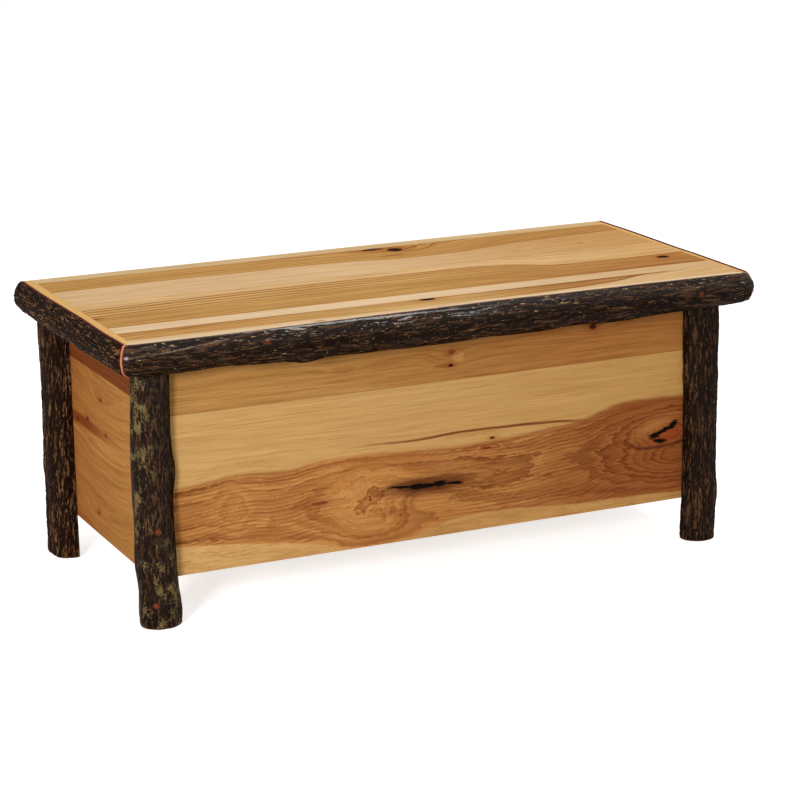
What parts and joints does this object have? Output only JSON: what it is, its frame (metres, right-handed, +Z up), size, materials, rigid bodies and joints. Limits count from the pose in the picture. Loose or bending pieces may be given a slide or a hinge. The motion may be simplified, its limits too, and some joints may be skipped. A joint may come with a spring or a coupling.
{
  "type": "blanket chest",
  "caption": "Rustic blanket chest: a board case between bark-on log posts, under a hinged lid framed on three sides by bark-on logs cut flat on top.",
  "frame": {"origin": "on the floor, at the middle of the footprint", "axes": "+X along the chest towards its right end, +Y towards its hinged back, +Z up"},
  "size_m": [1.221, 0.5716, 0.505],
  "materials": {
    "bark": "dark furrowed bark under clear satin lacquer",
    "lid_board": "satin clear-lacquered boards, light sapwood and tan heartwood",
    "front_board": "satin clear-lacquered boards with brown heartwood and knots",
    "end_board": "satin clear-lacquered boards, orange brown",
    "inner_board": "sanded, unstained",
    "steel": "dull antique plated steel"
  },
  "bodies": {
    "case": {"front_left_post": "bark", "back_left_post": "bark", "front_right_post": "bark", "back_right_post": "bark", "front_upper_board": "front_board", "front_lower_board": "front_board", "left_upper_board": "end_board", "left_lower_board": "end_board", "right_upper_board": "end_board", "right_lower_board": "end_board", "back_upper_board": "inner_board", "back_lower_board": "inner_board", "front_cleat": "inner_board", "back_cleat": "inner_board", "left_cleat": "inner_board", "right_cleat": "inner_board", "floor_board_1": "inner_board", "floor_board_2": "inner_board", "floor_board_3": "inner_board", "floor_board_4": "inner_board", "hinge_case_leaf_1": "steel", "hinge_pin_1": "steel", "hinge_case_leaf_2": "steel", "hinge_pin_2": "steel", "hinge_case_leaf_3": "steel", "hinge_pin_3": "steel", "left_stay_plate": "steel", "right_stay_plate": "steel"},
    "lid": {"lid_board_1": "lid_board", "lid_board_2": "lid_board", "lid_board_3": "lid_board", "lid_board_4": "lid_board", "lid_board_5": "lid_board", "front_log": "bark", "left_log": "bark", "right_log": "bark", "lid_batten_left": "inner_board", "lid_batten_right": "inner_board", "hinge_lid_leaf_1": "steel", "hinge_lid_leaf_2": "steel", "hinge_lid_leaf_3": "steel", "left_stay_bracket": "steel", "left_stay_rivet": "steel", "right_stay_bracket": "steel", "right_stay_rivet": "steel"},
    "left_stay_arm": {"left_stay_arm": "steel"},
    "right_stay_arm": {"right_stay_arm": "steel"}
  },
  "joints": [
    {"name": "lid_hinge", "type": "hinge", "parent": "case", "child": "lid", "pos_m": [0, 0.28019, 0.4837], "axis": [-1, 0, 0], "range_deg": [0, 100]},
    {"name": "left_stay_pivot", "type": "hinge", "parent": "lid", "child": "left_stay_arm", "pos_m": [-0.5085, 0.12564, 0.4697], "axis": [1, 0, 0], "range_deg": [0, 50]},
    {"name": "right_stay_pivot", "type": "hinge", "parent": "lid", "child": "right_stay_arm", "pos_m": [0.5078, 0.12564, 0.4697], "axis": [1, 0, 0], "range_deg": [0, 50]}
  ],
  "couplings": [
    {"joint": "left_stay_pivot", "follows": "lid_hinge", "ratio": 0.5},
    {"joint": "right_stay_pivot", "follows": "lid_hinge", "ratio": 0.5}
  ]
}
